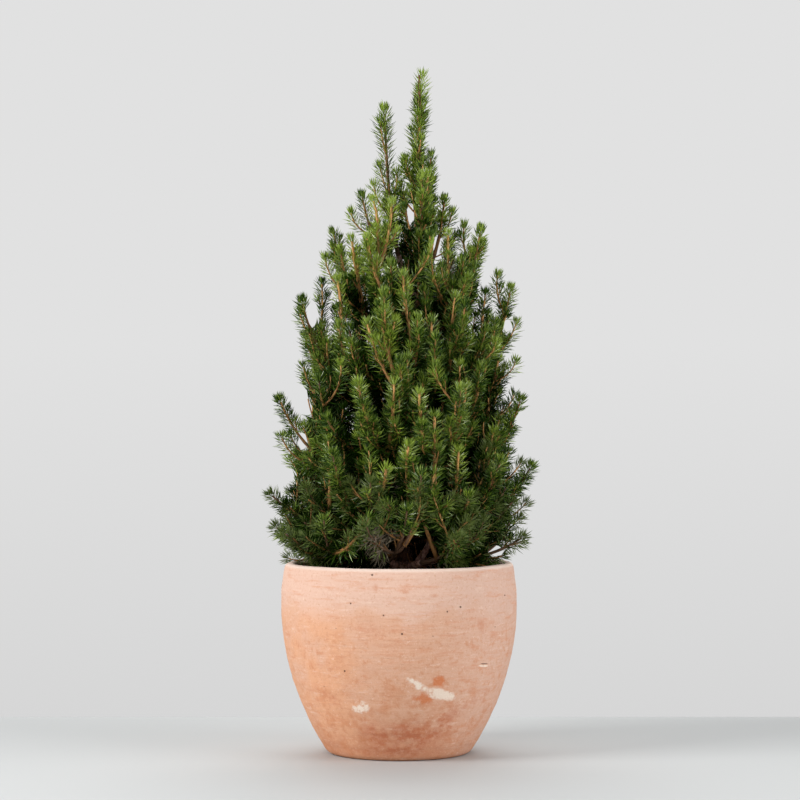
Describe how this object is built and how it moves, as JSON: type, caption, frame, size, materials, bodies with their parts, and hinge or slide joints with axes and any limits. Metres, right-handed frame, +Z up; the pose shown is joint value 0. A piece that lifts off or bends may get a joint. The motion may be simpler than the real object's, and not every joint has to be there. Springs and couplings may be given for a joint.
{
  "type": "potted dwarf spruce",
  "caption": "Small cone-shaped dwarf spruce with crowded upright shoots and two leaders, growing in a round-bellied terracotta pot.",
  "frame": {"origin": "centre of the pot's flat underside", "axes": "+Z up the plant, -Y towards the front, +X to the right seen from the front"},
  "size_m": [0.2753, 0.2531, 0.692],
  "materials": {
    "terracotta": "unglazed earthenware, matte and dusty with pale lime bloom",
    "soil": "crumbly peat potting mix, matte",
    "bark": "rough brown bark, matte",
    "needles": "fine green needles, low sheen"
  },
  "bodies": {
    "root": {"crest_foliage_1": "needles", "crest_foliage_2": "needles", "crest_foliage_3": "needles", "crest_foliage_4": "needles", "front_bough": "bark", "leader_foliage": "needles", "lower_bough_7": "bark", "lower_foliage_1": "needles", "lower_foliage_2": "needles", "lower_foliage_3": "needles", "lower_foliage_4": "needles", "lower_foliage_5": "needles", "lower_foliage_6": "needles", "lower_foliage_7": "needles", "lower_foliage_8": "needles", "middle_foliage_1": "needles", "middle_foliage_2": "needles", "middle_foliage_3": "needles", "middle_foliage_4": "needles", "middle_foliage_5": "needles", "middle_foliage_6": "needles", "middle_foliage_7": "needles", "pot": "terracotta", "second_leader_bough": "bark", "second_leader_foliage": "needles", "shoulder_foliage_1": "needles", "shoulder_foliage_2": "needles", "shoulder_foliage_3": "needles", "shoulder_foliage_4": "needles", "shoulder_foliage_5": "needles", "shoulder_foliage_6": "needles", "shoulder_foliage_7": "needles", "skirt_bough_1": "bark", "skirt_bough_2": "bark", "skirt_bough_3": "bark", "skirt_bough_4": "bark", "skirt_bough_5": "bark", "skirt_bough_6": "bark", "skirt_bough_7": "bark", "skirt_bough_8": "bark", "skirt_foliage_1": "needles", "skirt_foliage_2": "needles", "skirt_foliage_3": "needles", "skirt_foliage_4": "needles", "skirt_foliage_5": "needles", "skirt_foliage_6": "needles", "skirt_foliage_7": "needles", "skirt_foliage_8": "needles", "soil": "soil", "trunk": "bark", "upper_foliage_1": "needles", "upper_foliage_2": "needles", "upper_foliage_3": "needles", "upper_foliage_4": "needles", "upper_foliage_5": "needles", "upper_foliage_6": "needles"}
  },
  "joints": []
}
